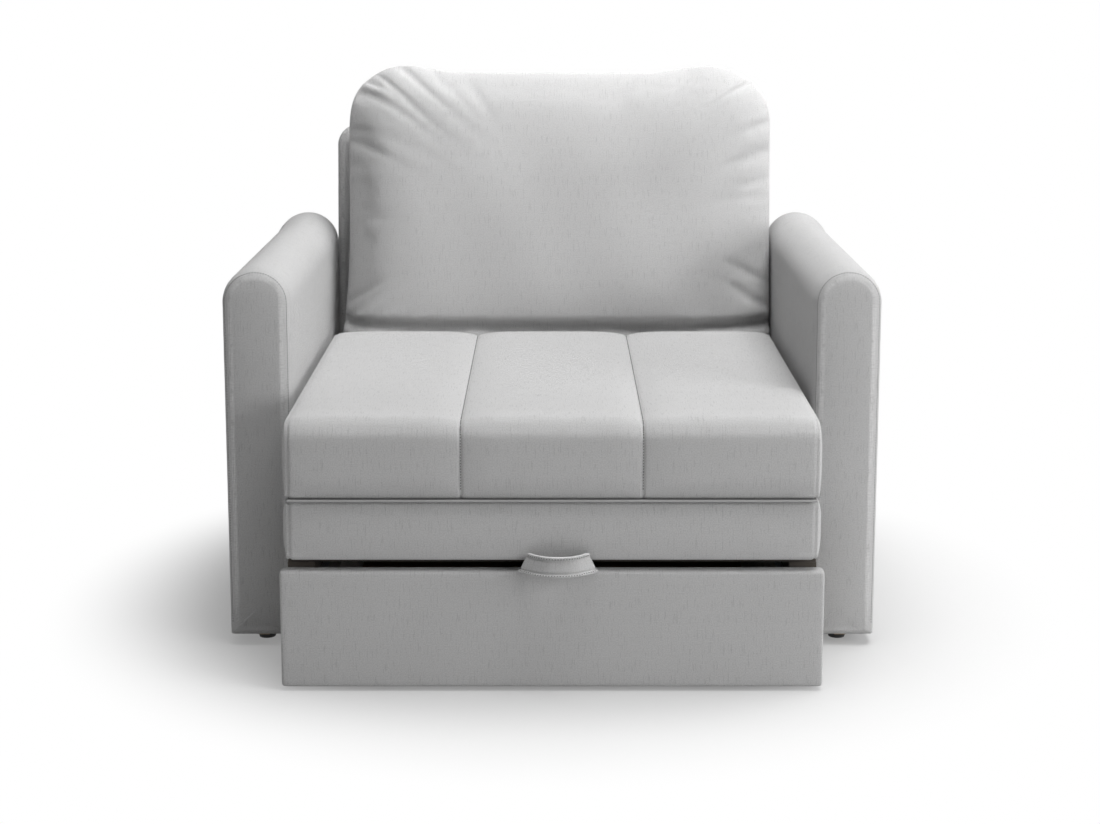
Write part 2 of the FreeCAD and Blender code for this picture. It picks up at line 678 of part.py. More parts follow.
os.makedirs("parts", exist_ok=True)
for node, shape in build().items():
    if not shape.isValid():
        print("not valid:", node)
    print(f"{node}: {len(shape.Solids)} solids, {shape.Volume / 1e6:.3f} litres")
    shape.exportStep("parts/" + node + ".step")
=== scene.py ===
"""The looks of a convertible chair bed: sewn covers, a loose back cushion, a pull strap and
the finishes of its frame, drawer and castors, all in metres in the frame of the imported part.
"""

import json
import math

import bmesh
import bpy
import numpy as np
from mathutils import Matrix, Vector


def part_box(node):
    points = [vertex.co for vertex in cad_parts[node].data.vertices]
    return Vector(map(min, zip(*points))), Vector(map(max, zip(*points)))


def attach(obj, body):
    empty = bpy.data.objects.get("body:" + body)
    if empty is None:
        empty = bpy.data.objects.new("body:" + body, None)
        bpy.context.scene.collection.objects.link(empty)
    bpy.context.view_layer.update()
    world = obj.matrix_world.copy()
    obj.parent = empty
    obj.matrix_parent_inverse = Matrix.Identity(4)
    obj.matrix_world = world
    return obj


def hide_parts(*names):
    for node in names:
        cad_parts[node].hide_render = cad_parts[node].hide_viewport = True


bl_info = {
    "name": "Convertible chair bed",
    "version": (1, 0, 0),
    "blender": (4, 5, 0),
    "location": "3D View > Sidebar > Chair bed",
    "description": "Builds the covers, the cushion and the finishes of a convertible chair bed",
    "category": "Add Mesh",
}

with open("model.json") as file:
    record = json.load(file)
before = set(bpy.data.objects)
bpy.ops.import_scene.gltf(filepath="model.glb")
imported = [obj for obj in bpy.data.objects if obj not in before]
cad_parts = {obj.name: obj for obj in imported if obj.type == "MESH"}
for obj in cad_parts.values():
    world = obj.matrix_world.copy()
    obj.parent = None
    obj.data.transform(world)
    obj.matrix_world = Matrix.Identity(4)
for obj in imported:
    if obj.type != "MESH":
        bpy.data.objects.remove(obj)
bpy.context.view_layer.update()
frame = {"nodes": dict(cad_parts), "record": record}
SIDES = (("left", -1), ("right", 1))

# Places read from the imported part, in metres
SEAT_LOW, SEAT_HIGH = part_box("upper_section_pad")
BASE_LOW, BASE_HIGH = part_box("lower_section_pad")
DRAWER_LOW, DRAWER_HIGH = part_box("drawer_front_pad")
ARM_LOW, ARM_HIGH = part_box("arm_pad_left")
BACK_LOW, BACK_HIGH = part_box("back_pad")
CUSHION_LOW, CUSHION_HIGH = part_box("back_cushion")
STRAP_LOW, STRAP_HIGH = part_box("pull_strap")

# How finely the covers are divided
COARSE = 0.0075
FINE = 0.0016
FINE_REACH = 0.016
ARC_STEPS = 6
ROUND_STEPS = 5
WELD = 1e-6
SAMPLES_PER_STEP = 4
PUCKER_WAVES = (0.023, 0.031, 0.047, 0.083, 0.121)


# Profiles and stations

def stations(start, stop, seams):
    """Positions from start to stop, close together near each seam and wider apart elsewhere.

    The spacing is FINE + (COARSE - FINE) * (1 - exp(-(distance / FINE_REACH)^2)), and equal
    steps of the running sum of its inverse give the positions.
    """
    samples = np.linspace(start, stop, int((stop - start) / FINE * SAMPLES_PER_STEP))
    distance = np.full_like(samples, stop - start)
    for seam in seams:
        distance = np.minimum(distance, np.abs(samples - seam))
    spacing = FINE + (COARSE - FINE) * (1 - np.exp(-(distance / FINE_REACH) ** 2))
    total = np.concatenate(([0.0], np.cumsum(np.diff(samples) / spacing[1:])))
    count = int(math.ceil(total[-1])) + 1
    return np.interp(np.linspace(0, total[-1], count), total, samples)


def round_rectangle(low, high, radii):
    """A closed profile: four straight sides joined by quarter arcs.

    The radii go round from the low left corner, against the clock. Gives the points, with the
    first repeated at the end, and the length travelled at each.
    """
    (u0, v0), (u1, v1) = low, high
    a, b, c, d = radii
    centres = ((u0 + a, v0 + a), (u1 - b, v0 + b), (u1 - c, v1 - c), (u0 + d, v1 - d))
    arcs = []
    for turn, (centre, radius) in enumerate(zip(centres, radii)):
        steps = max(ARC_STEPS, int(radius * math.pi / 2 / (COARSE / 2)))
        angle = math.pi + turn * math.pi / 2 + np.linspace(0, math.pi / 2, steps + 1)
        arcs.append(np.column_stack((centre[0] + radius * np.cos(angle),
                                     centre[1] + radius * np.sin(angle))))
    points = []
    for arc, following in zip(arcs, arcs[1:] + arcs[:1]):
        gap = following[0] - arc[-1]
        steps = max(1, int(np.linalg.norm(gap) / COARSE))
        share = np.arange(1, steps)[:, None] / steps
        points += [arc, arc[-1] + gap * share]
    points = np.vstack(points + [arcs[0][:1]])
    step = np.linalg.norm(np.diff(points, axis=0), axis=1)
    return points, np.concatenate(([0.0], np.cumsum(step)))


def inset(points, distance, reach):
    """Each point moved towards its nearest point of an inner rectangle that lies reach inside
    the profile, by distance / reach of the way, so that sides move in by the distance.
    """
    corners = points.reshape(-1, 2)
    low, high = corners.min(axis=0) + reach, corners.max(axis=0) - reach
    inner = np.clip(points, low, high)
    return points + (inner - points) * (np.asarray(distance)[..., None] / reach)


def bump_between(x, marks, power):
    """A crown between each pair of marks: 1 - |2t - 1|^power, where t goes from one to the next."""
    marks = np.asarray(marks)
    cell = np.clip(np.searchsorted(marks, x) - 1, 0, len(marks) - 2)
    share = (x - marks[cell]) / (marks[cell + 1] - marks[cell])
    return 1 - np.abs(2 * np.clip(share, 0, 1) - 1) ** power


def pucker(length, seed):
    """An even, repeatable ripple along a seam: five sine waves of fixed lengths and phases."""
    rng = np.random.default_rng(seed)
    waves = 2 * math.pi / np.array(PUCKER_WAVES)
    phases = rng.uniform(0, 2 * math.pi, len(waves))
    return np.mean([np.sin(length * w + p) for w, p in zip(waves, phases)], axis=0)


# Meshes

def grid_faces(rows, columns, first):
    """The quads of a grid of points numbered row by row from first."""
    r, c = np.meshgrid(np.arange(rows - 1), np.arange(columns - 1), indexing="ij")
    corner = (first + r * columns + c).ravel()
    return np.column_stack((corner, corner + 1, corner + columns + 1, corner + columns))


def mesh_piece(name, grids, smooth=True, close=True):
    """One object from grids of points, each with its own map of lengths in metres.

    Equal points are welded, open ends are closed with a flat face and faces point outwards.
    """
    points, maps, faces, first = [], [], [], 0
    for grid, chart in grids:
        rows, columns = grid.shape[:2]
        points.append(grid.reshape(-1, 3))
        maps.append(chart.reshape(-1, 2))
        faces.append(grid_faces(rows, columns, first))
        first += rows * columns
    points, maps, faces = np.vstack(points), np.vstack(maps), np.vstack(faces)
    mesh = bpy.data.meshes.new(name)
    mesh.from_pydata(points.tolist(), [], faces.tolist())
    layer = mesh.uv_layers.new(name="cloth")
    layer.data.foreach_set("uv", maps[faces.ravel()].astype(np.float32).ravel())
    finish_mesh(mesh, close)
    mesh.polygons.foreach_set("use_smooth", [smooth] * len(mesh.polygons))
    piece = bpy.data.objects.new(name, mesh)
    bpy.context.collection.objects.link(piece)
    return piece


def finish_mesh(mesh, close):
    """Welds equal points, closes open loops and turns every face outwards."""
    work = bmesh.new()
    work.from_mesh(mesh)
    bmesh.ops.remove_doubles(work, verts=work.verts, dist=WELD)
    bmesh.ops.dissolve_degenerate(work, dist=WELD, edges=work.edges)
    if close:
        rims = [edge for edge in work.edges if edge.is_boundary]
        bmesh.ops.holes_fill(work, edges=rims, sides=0)
    bmesh.ops.recalc_face_normals(work, faces=work.faces)
    work.to_mesh(mesh)
    work.free()


def dress(piece, node, body, material):
    """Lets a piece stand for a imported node, move with its body and take a material."""
    piece.data.materials.append(material)
    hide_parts(node)
    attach(piece, body)


# Sewn pads

SEAM_WIDTH = 0.0022
PUFF_PLACE = 0.009
PUFF_WIDTH = 0.006
REACH_SHARE = 0.96
FEWEST_RINGS = 3


def no_swell(along, points):
    """A swell of nothing at every station and point."""
    return np.zeros(np.broadcast(along, points[..., 0]).shape)


class Pad:
    """A pad sewn from a band that goes once round a profile, with a panel on each end.

    A point of the band lies at a place along the axis and on the profile, moved outwards by
    the swell. Near an end the profile draws in by radius * (1 - sin(angle)) while the place
    goes by radius * (1 - cos(angle)), which rounds the edge, and a groove marks the seam.
    """

    def __init__(self, profile, ends, edge_radius, place, seams=(), swell=no_swell, groove=0.0018,
                 cap_bulge=0.003, ripple=0.0002, seed=1):
        self.points, self.length = profile
        self.ends = ends
        self.edge_radius = edge_radius
        self.place = place
        self.seams = seams
        self.swell = swell
        self.groove = groove
        self.cap_bulge = cap_bulge
        self.ripple = ripple
        self.seed = seed
        size = self.points.max(axis=0) - self.points.min(axis=0)
        self.reach = size.min() / 2 * REACH_SHARE

    def layout(self):
        """The place of each station along the axis, and how far each point there draws in."""
        start, stop = self.ends
        r0, r1 = self.edge_radius
        angle = np.linspace(0, math.pi / 2, ROUND_STEPS)[:-1]
        edge_seams = (start + r0, stop - r1)
        middle = stations(*edge_seams, tuple(self.seams) + edge_seams)
        along = np.concatenate((start + r0 * (1 - np.cos(angle)), middle,
                                (stop - r1 * (1 - np.cos(angle)))[::-1]))
        draw = np.concatenate((r0 * (1 - np.sin(angle)), np.zeros(len(middle)),
                               (r1 * (1 - np.sin(angle)))[::-1]))
        near = sum(np.exp(-((along - seam) / SEAM_WIDTH) ** 2) for seam in edge_seams)
        puffs = sum(np.exp(-((np.abs(along - seam) - PUFF_PLACE) / PUFF_WIDTH) ** 2)
                    for seam in edge_seams)
        swell = self.swell(along[:, None], self.points[None, :, :])
        ripple = self.ripple * puffs[:, None] * pucker(self.length, self.seed)
        return along, (draw + self.groove * near)[:, None] - swell + ripple

    def band(self):
        """The band's grid of points and its map."""
        along, depth = self.layout()
        along = np.broadcast_to(along[:, None], depth.shape)
        grid = self.place(along, inset(self.points[None, :, :], depth, self.reach))
        return grid, np.stack(np.broadcast_arrays(along, self.length[None, :]), axis=-1)

    def cap(self, which):
        """An end panel: rings that draw in from the band's own edge while they swell outwards."""
        at, outwards = ((self.ends[0], -1), (self.ends[1], 1))[which]
        edge = self.layout()[1][(0, -1)[which]]
        share = np.linspace(0, 1, max(FEWEST_RINGS, int(self.reach / COARSE)))[:, None]
        depth = edge[None, :] * (1 - share) + self.reach * share
        moved = inset(self.points[None, :, :], depth, self.reach)
        bulge = self.cap_bulge * (1 - (1 - share) ** 2)
        along = np.broadcast_to(at + outwards * bulge, depth.shape)
        return self.place(along, moved), moved

    def build(self, name):
        """The whole pad as one object."""
        return mesh_piece(name, [self.band(), self.cap(0), self.cap(1)])


def across(along, points):
    """Places a pad whose axis runs from side to side and whose profile is depth and height."""
    return np.stack((along, points[..., 0], points[..., 1]), axis=-1)


def lengthwise(along, points):
    """Places a pad whose axis runs from front to rear and whose profile is x and height."""
    return np.stack((points[..., 0], along, points[..., 1]), axis=-1)


# Materials

def new_material(name, roughness, metallic=0.0):
    """A material with one shader, ready for its colour and bump."""
    material = bpy.data.materials.new(name)
    material.use_nodes = True
    shader = material.node_tree.nodes["Principled BSDF"]
    shader.inputs["Roughness"].default_value = roughness
    shader.inputs["Metallic"].default_value = metallic
    return material, material.node_tree, shader


def node(tree, kind, **values):
    """A new shader node, with its settings and the values of its named inputs."""
    made = tree.nodes.new(kind)
    for name, value in values.items():
        if name in made.inputs:
            made.inputs[name].default_value = value
        else:
            setattr(made, name, value)
    return made


def maths(tree, operation, first, second):
    """A maths node of two values or sockets."""
    made = node(tree, "ShaderNodeMath", operation=operation)
    for socket, value in zip(made.inputs, (first, second)):
        if isinstance(value, (int, float)):
            socket.default_value = value
        else:
            tree.links.new(value, socket)
    return made.outputs[0]


def stretched(tree, source, scale):
    """Coordinates scaled by a different amount along each axis."""
    mapping = node(tree, "ShaderNodeMapping", Scale=scale)
    tree.links.new(source, mapping.inputs["Vector"])
    return mapping.outputs["Vector"]


def noise(tree, source, scale=1.0, detail=2.0):
    """A noise field over the given coordinates."""
    made = node(tree, "ShaderNodeTexNoise", Scale=scale, Detail=detail)
    tree.links.new(source, made.inputs["Vector"])
    return made.outputs["Fac"]


def ramp(tree, value, low, high):
    """A value spread so that low becomes 0 and high becomes 1."""
    made = node(tree, "ShaderNodeMapRange")
    made.interpolation_type = "SMOOTHSTEP"
    tree.links.new(value, made.inputs["Value"])
    made.inputs["From Min"].default_value = low
    made.inputs["From Max"].default_value = high
    return made.outputs["Result"]


def tint(tree, colour, amount, shader):
    """Multiplies one colour by an amount and feeds the shader's colour."""
    mix = node(tree, "ShaderNodeVectorMath", operation="SCALE")
    mix.inputs[0].default_value = colour[:3]
    tree.links.new(amount, mix.inputs["Scale"])
    tree.links.new(mix.outputs[0], shader.inputs["Base Color"])


def bump(tree, height, shader, distance):
    """Feeds a height in parts of the distance to the shader's normal."""
    made = node(tree, "ShaderNodeBump", Strength=1.0, Distance=distance)
    tree.links.new(height, made.inputs["Height"])
    tree.links.new(made.outputs["Normal"], shader.inputs["Normal"])


def weave_height(tree, cloth, pitch):
    """Two sets of crossing threads: the product of one sine along each direction."""
    split = node(tree, "ShaderNodeSeparateXYZ")
    tree.links.new(cloth, split.inputs[0])
    turns = 2 * math.pi / pitch
    waves = [maths(tree, "SINE", maths(tree, "MULTIPLY", split.outputs[i], turns), 0.0)
             for i in (0, 1)]
    return maths(tree, "MULTIPLY", waves[0], waves[1])


MIDDLE = 0.5
CROSS_PART = 3
FABRIC_SPECULAR = 0.2
SLUB_SCALE = (520.0, 42.0, 1.0)
WEFT_SCALE = (36.0, 620.0, 1.0)
MOTTLE_SCALE = (620.0, 480.0, 1.0)
CLOUD_SCALE = (9.0, 6.0, 1.0)
MOTTLE_DETAIL = 3.0
MOTTLE_HEIGHT = 1.2
SLUB_LIMITS = (0.57, 0.69)


def woven_fabric(name, settings, shade=1.0):
    """Light grey cloth: crossing threads, thick dark slubs along the warp and a fine mottle."""
    material, tree, shader = new_material(name, settings.roughness)
    shader.inputs["Sheen Weight"].default_value = settings.sheen
    shader.inputs["Specular IOR Level"].default_value = FABRIC_SPECULAR
    cloth = node(tree, "ShaderNodeUVMap", uv_map="cloth").outputs["UV"]
    slubs = noise(tree, stretched(tree, cloth, SLUB_SCALE))
    weft = noise(tree, stretched(tree, cloth, WEFT_SCALE))
    fine = noise(tree, stretched(tree, cloth, MOTTLE_SCALE), detail=MOTTLE_DETAIL)
    cloud = noise(tree, stretched(tree, cloth, CLOUD_SCALE))
    dark = maths(tree, "MULTIPLY", ramp(tree, slubs, *SLUB_LIMITS), settings.slub_depth)
    cross = maths(tree, "MULTIPLY", ramp(tree, weft, *SLUB_LIMITS), settings.slub_depth / CROSS_PART)
    speckle = maths(tree, "MULTIPLY", maths(tree, "SUBTRACT", fine, MIDDLE), settings.mottle)
    drift = maths(tree, "MULTIPLY", maths(tree, "SUBTRACT", cloud, MIDDLE), settings.drift)
    # shade scales the whole cloth; above 1 it gives a lighter copy, which is painted light
    light = maths(tree, "SUBTRACT", shade, maths(tree, "ADD", dark, cross))
    light = maths(tree, "ADD", light, maths(tree, "ADD", speckle, drift))
    tint(tree, settings.colour, light, shader)
    threads = weave_height(tree, cloth, settings.thread_pitch)
    height = maths(tree, "ADD", threads, maths(tree, "MULTIPLY", fine, MOTTLE_HEIGHT))
    bump(tree, maths(tree, "SUBTRACT", height, dark), shader, settings.thread_height)
    return material


WOOD_ROUGHNESS = 0.6
GRAIN_DETAIL = 4.0
PORE_SCALE = 900.0
GRAIN_DEPTH = 0.0003


def board(name, colour, grain_scale, contrast):
    """Wood or board: grain stretched along its length, with a fine pore pattern."""
    material, tree, shader = new_material(name, WOOD_ROUGHNESS)
    place = node(tree, "ShaderNodeTexCoord").outputs["Object"]
    grain = noise(tree, stretched(tree, place, grain_scale), detail=GRAIN_DETAIL)
    pores = noise(tree, place, PORE_SCALE)
    change = maths(tree, "MULTIPLY", maths(tree, "SUBTRACT", grain, MIDDLE), contrast)
    fine = maths(tree, "MULTIPLY", maths(tree, "SUBTRACT", pores, MIDDLE), contrast / CROSS_PART)
    tint(tree, colour, maths(tree, "ADD", 1.0, maths(tree, "ADD", change, fine)), shader)
    bump(tree, grain, shader, GRAIN_DEPTH)
    return material


FINISH_CHANGE = 0.18
FINISH_BUMP = 0.0001


def plain_finish(name, colour, roughness, metallic, wear_scale):
    """Metal, plastic or rubber, with a faint cloudiness in its colour and its surface."""
    material, tree, shader = new_material(name, roughness, metallic)
    place = node(tree, "ShaderNodeTexCoord").outputs["Object"]
    cloud = noise(tree, place, wear_scale, GRAIN_DETAIL)
    change = maths(tree, "MULTIPLY", maths(tree, "SUBTRACT", cloud, MIDDLE), FINISH_CHANGE)
    tint(tree, colour, maths(tree, "ADD", 1.0, change), shader)
    bump(tree, cloud, shader, FINISH_BUMP)
    return material


# Settings that a user would change

class ChairBedFabric(bpy.types.PropertyGroup):
    """The cloth of the covers."""

    colour: bpy.props.FloatVectorProperty(
        name="Colour", description="Colour of the cloth", subtype="COLOR", size=3,
        default=(0.67, 0.668, 0.668), min=0, max=1)
    roughness: bpy.props.FloatProperty(
        name="Roughness", description="Roughness of the cloth", default=0.9, min=0, max=1)
    sheen: bpy.props.FloatProperty(
        name="Sheen", description="Strength of the soft shine at grazing angles",
        default=0.15, min=0, max=1)
    thread_pitch: bpy.props.FloatProperty(
        name="Thread pitch", description="Distance over which the weave repeats",
        default=0.0011, unit="LENGTH", precision=4)
    thread_height: bpy.props.FloatProperty(
        name="Thread height", description="Height of the threads", default=0.0005,
        unit="LENGTH", precision=5)
    slub_depth: bpy.props.FloatProperty(
        name="Slub depth", description="How much darker the thick threads are",
        default=0.13, min=0, max=1, subtype="FACTOR")
    mottle: bpy.props.FloatProperty(
        name="Mottle", description="Strength of the fine speckle", default=0.50, min=0, max=1,
        subtype="FACTOR")
    drift: bpy.props.FloatProperty(
        name="Drift", description="Strength of the slow change of shade", default=0.05, min=0,
        max=1, subtype="FACTOR")


class ChairBedShape(bpy.types.PropertyGroup):
    """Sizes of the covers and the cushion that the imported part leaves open."""

    channel_seam: bpy.props.FloatProperty(
        name="Channel seam", description="Distance of each sewn seam from the middle",
        default=0.133, unit="LENGTH")
    channel_crown: bpy.props.FloatProperty(
        name="Channel crown", description="Rise of each channel above its seams",
        default=0.007, unit="LENGTH")
    front_crown: bpy.props.FloatProperty(
        name="Front crown", description="Swell of the channels on the front face",
        default=0.004, unit="LENGTH")
    seat_front_radius: bpy.props.FloatProperty(
        name="Front edge radius", description="Rounding of the folding section's front edge",
        default=0.026, unit="LENGTH")
    base_swell: bpy.props.FloatProperty(
        name="Base swell", description="Swell of the fixed section's front",
        default=0.004, unit="LENGTH")
    arm_front_radius: bpy.props.FloatProperty(
        name="Arm front radius", description="Rounding of the arm's front edge",
        default=0.017, unit="LENGTH")
    arm_flare: bpy.props.FloatProperty(
        name="Arm flare", description="How far the arm swells out at its rear end",
        default=0.004, unit="LENGTH")
    back_lean: bpy.props.FloatProperty(
        name="Back lean", description="Angle of the back from upright",
        default=math.radians(8), subtype="ANGLE")
    cushion_thickness: bpy.props.FloatProperty(
        name="Cushion thickness", description="Thickness of the loose cushion in its middle",
        default=0.136, unit="LENGTH")
    stitch_length: bpy.props.FloatProperty(
        name="Stitch length", description="Length of one stitch", default=0.0042,
        unit="LENGTH", precision=4)


def shape():
    """The sizes of this scene's chair bed."""
    return bpy.context.scene.chair_bed_shape


def fabric(name, shade=1.0):
    """The cloth material of that name, made once."""
    found = bpy.data.materials.get(name)
    return found or woven_fabric(name, bpy.context.scene.chair_bed_fabric, shade)


# Arms

ARM_FOOT_RADIUS = 0.004
ALMOST = 0.999
ARM_REAR_RADIUS = 0.012
ARM_CAP_BULGE = 0.002
ARM_SEED = 11
FLARE_PLACE = 0.075
FLARE_LENGTH = 0.010


def arm_pad(sign):
    """An arm: a band over a profile with a round top, and a padded panel on its front."""
    sizes = shape()
    half = (ARM_HIGH.x - ARM_LOW.x) / 2
    middle = sign * abs((ARM_HIGH.x + ARM_LOW.x) / 2)
    profile = round_rectangle((middle - half, ARM_LOW.z), (middle + half, ARM_HIGH.z),
                              (ARM_FOOT_RADIUS, ARM_FOOT_RADIUS, half * ALMOST, half * ALMOST))
    rear = ARM_HIGH.y

    def swell(along, points):
        """Flares the rear end, from nothing at the floor to the most at the top."""
        flare = sizes.arm_flare / (1 + np.exp(-(along - (rear - FLARE_PLACE)) / FLARE_LENGTH))
        height = (points[..., 1] - ARM_LOW.z) / (ARM_HIGH.z - ARM_LOW.z)
        return flare * height

    return Pad(profile, (ARM_LOW.y, rear), (sizes.arm_front_radius, ARM_REAR_RADIUS), lengthwise,
               swell=swell, cap_bulge=ARM_CAP_BULGE, seed=ARM_SEED + sign)


class CHAIRBED_OT_arms(bpy.types.Operator):
    """Builds the covers of both arms"""

    bl_idname = "chair_bed.arms"
    bl_label = "Arms"

    def execute(self, context):
        for side, sign in SIDES:
            piece = arm_pad(sign).build("arm_cover_" + side)
            dress(piece, "arm_pad_" + side, "carcass", fabric("arm_cloth"))
        return {"FINISHED"}


# Seat sections and drawer front

FRONT_ZONE = 0.03
CROWN_START = 0.8
CROWN_SPAN = 0.2
FACE_FOOT = 4
FACE_HEAD = 6
CHANNEL_POWER = 6.0
SEWN_DEPTH = 0.0014
SEAT_FOOT_RADIUS = 0.006
SEAT_REAR_RADIUS = 0.022
SEAT_EDGE = 0.006
GUSSET = 0.007
SEAT_SEED = 21


def channel_marks():
    """The x of both ends and of the sewn seams of the folding section."""
    seam = shape().channel_seam
    return (SEAT_LOW.x, -seam, seam, SEAT_HIGH.x)


def seat_pad():
    """The folding section: a band over its top and front, crowned between the sewn seams."""
    sizes = shape()
    crown, front = sizes.channel_crown, sizes.front_crown
    top = SEAT_HIGH.z - crown
    profile = round_rectangle((SEAT_LOW.y + front, SEAT_LOW.z), (SEAT_HIGH.y, top),
                              (SEAT_FOOT_RADIUS, SEAT_FOOT_RADIUS, SEAT_REAR_RADIUS,
                               sizes.seat_front_radius))
    marks = channel_marks()

    def swell(along, points):
        """The crown of the channels, full on top, less on the front and none underneath, with
        a narrow groove at each sewn seam.
        """
        height = (points[..., 1] - SEAT_LOW.z) / (top - SEAT_LOW.z)
        on_front = np.exp(-((points[..., 0] - SEAT_LOW.y) / FRONT_ZONE) ** 2)
        above = np.clip((height - CROWN_START) / CROWN_SPAN, 0, 1)
        foot = np.clip(height * FACE_FOOT, 0, 1)
        face = on_front * foot * np.clip((1 - height) * FACE_HEAD + MIDDLE, 0, 1)
        lift = np.maximum(crown * above, front * face)
        sewn = sum(np.exp(-((along - mark) / SEAM_WIDTH) ** 2) for mark in marks[1:3])
        return bump_between(along, marks, CHANNEL_POWER) * lift - SEWN_DEPTH * sewn * (lift > 0)

    return Pad(profile, (SEAT_LOW.x + GUSSET, SEAT_HIGH.x - GUSSET), (SEAT_EDGE, SEAT_EDGE),
               across, seams=marks[1:3], swell=swell, cap_bulge=GUSSET, seed=SEAT_SEED)


BASE_RADIUS = 0.008
BASE_SEED = 31
BASE_POWER = 8


def base_pad():
    """The fixed section under the folding one, with a soft swollen front."""
    swell_by = shape().base_swell
    profile = round_rectangle((BASE_LOW.y + swell_by, BASE_LOW.z), (BASE_HIGH.y, BASE_HIGH.z),
                              (BASE_RADIUS,) * 4)
    middle = (BASE_LOW.z + BASE_HIGH.z) / 2
    half = (BASE_HIGH.z - BASE_LOW.z) / 2

    def swell(along, points):
        """A round swell on the front face, gone at its upper and lower edges."""
        on_front = np.exp(-((points[..., 0] - BASE_LOW.y) / FRONT_ZONE) ** 2)
        round_face = np.clip(1 - ((points[..., 1] - middle) / half) ** 2, 0, 1)
        width = bump_between(along, (BASE_LOW.x, BASE_HIGH.x), BASE_POWER)
        return swell_by * on_front * round_face * width

    return Pad(profile, (BASE_LOW.x + GUSSET, BASE_HIGH.x - GUSSET), (SEAT_EDGE, SEAT_EDGE),
               across, swell=swell, cap_bulge=GUSSET, seed=BASE_SEED)


DRAWER_RADIUS = 0.005
DRAWER_REAR_RADIUS = 0.002
DRAWER_GROOVE = 0.0004
DRAWER_BULGE = 0.0005
DRAWER_SEED = 41


def drawer_pad():
    """The drawer's front: cloth drawn tight over a board."""
    radii = (DRAWER_RADIUS, DRAWER_REAR_RADIUS, DRAWER_REAR_RADIUS, DRAWER_RADIUS)
    profile = round_rectangle((DRAWER_LOW.y, DRAWER_LOW.z), (DRAWER_HIGH.y, DRAWER_HIGH.z), radii)
    return Pad(profile, (DRAWER_LOW.x, DRAWER_HIGH.x), (DRAWER_RADIUS, DRAWER_RADIUS), across,
               groove=DRAWER_GROOVE, cap_bulge=DRAWER_BULGE, ripple=0.0, seed=DRAWER_SEED)


class CHAIRBED_OT_seat(bpy.types.Operator):
    """Builds the covers of both seat sections"""

    bl_idname = "chair_bed.seat"
    bl_label = "Seat sections"

    def execute(self, context):
        upper = seat_pad().build("upper_section_cover")
        dress(upper, "upper_section_pad", "upper_section", fabric("seat_cloth"))
        lower = base_pad().build("lower_section_cover")
        dress(lower, "lower_section_pad", "carcass", fabric("seat_cloth"))
        return {"FINISHED"}


class CHAIRBED_OT_drawer_front(bpy.types.Operator):
    """Builds the cloth cover of the drawer's front"""

    bl_idname = "chair_bed.drawer_front"
    bl_label = "Drawer front"

    def execute(self, context):
        piece = drawer_pad().build("drawer_cover")
        dress(piece, "drawer_front_pad", "drawer", fabric("arm_cloth"))
        return {"FINISHED"}


# Back

BACK_FOOT_Z = 0.198
BACK_THICKNESS = 0.084
BACK_FOOT_Y = BACK_LOW.y
BACK_CORNER = 0.038
BACK_EDGE = 0.014
BACK_SEED = 51
BACK_WIDER = 0.0035


def leaning(along, points):
    """Places a layer of the back: the axis goes through it and the profile is x and up its face."""
    lean = shape().back_lean
    up, through = points[..., 1], along
    y = BACK_FOOT_Y + up * math.sin(lean) + through * math.cos(lean)
    z = BACK_FOOT_Z + up * math.cos(lean) - through * math.sin(lean)
    return np.stack((points[..., 0], y, z), axis=-1)


def back_pad():
    """The back: a band round its edge, with a padded panel on its front and its rear."""
    lean = shape().back_lean
    length = (BACK_HIGH.z - BACK_FOOT_Z) / math.cos(lean)
    profile = round_rectangle((BACK_LOW.x - BACK_WIDER, 0.0), (BACK_HIGH.x + BACK_WIDER, length),
                              (DRAWER_RADIUS, DRAWER_RADIUS, BACK_CORNER, BACK_CORNER))
    return Pad(profile, (0.0, BACK_THICKNESS), (BACK_EDGE, BACK_EDGE), leaning,
               cap_bulge=DRAWER_BULGE, seed=BACK_SEED)


class CHAIRBED_OT_back(bpy.types.Operator):
    """Builds the cover of the leaning back"""

    bl_idname = "chair_bed.back"
    bl_label = "Back"

    def execute(self, context):
        piece = back_pad().build("back_cover")
        dress(piece, "back_pad", "carcass", fabric("arm_cloth"))
        return {"FINISHED"}


# Loose back cushion

CUSHION_TOP = 0.877
CUSHION_FOOT = 0.297
EAR_RISE = 0.016
EAR_PLACE = 0.76
EAR_WIDTH = 0.2
LEFT_WIDTH = 0.385
LEFT_FOOT_FLARE = 0.026
RIGHT_WIDTH = 0.413
SIDE_LIMIT = 0.4015
CORNER_POWERS = (14.0, 7.0)
PANEL_POWER = 3.6
CUSHION_COLUMNS = 124
CUSHION_ROWS = 100
RIM_CROWDING = 0.6
LOW_FULLNESS = 0.10
SEAM_LAYER = -0.0678
BACK_CLEARANCE = 0.0008
CREASES = 90
CREASE_SEED = 7
CREASE_DEPTHS = (0.0005, 0.0034)
CREASE_WIDTHS = (0.018, 0.050)
CREASE_LENGTHS = (0.05, 0.24)
CREASE_DRIFT = 0.35
UNEVEN = 0.007
WAVE_COUNT = 7
WAVE_LENGTHS = (0.16, 0.45)
WAIST_HEIGHT = 0.4135
WAIST_WAVE = 0.0022
WAIST_WIDTH = 0.009
WAIST_DEPTH = 0.020
CLOTH_FRAMES = 20
CLOTH_PRESSURE = 4.0
CLOTH_CAP = 0.012
CLOTH_MASS = 0.3
CLOTH_STIFFNESS = 15.0
TINY = 1e-9
AROUND = 8
MIDDLE_SPAN = 0.5
CORNER_MORE = 1.5
CREASE_FADE = 3
# The cushion's cloth is the same cloth made 14 % lighter: painted light
CUSHION_PAINTED_LIGHT = 1.14


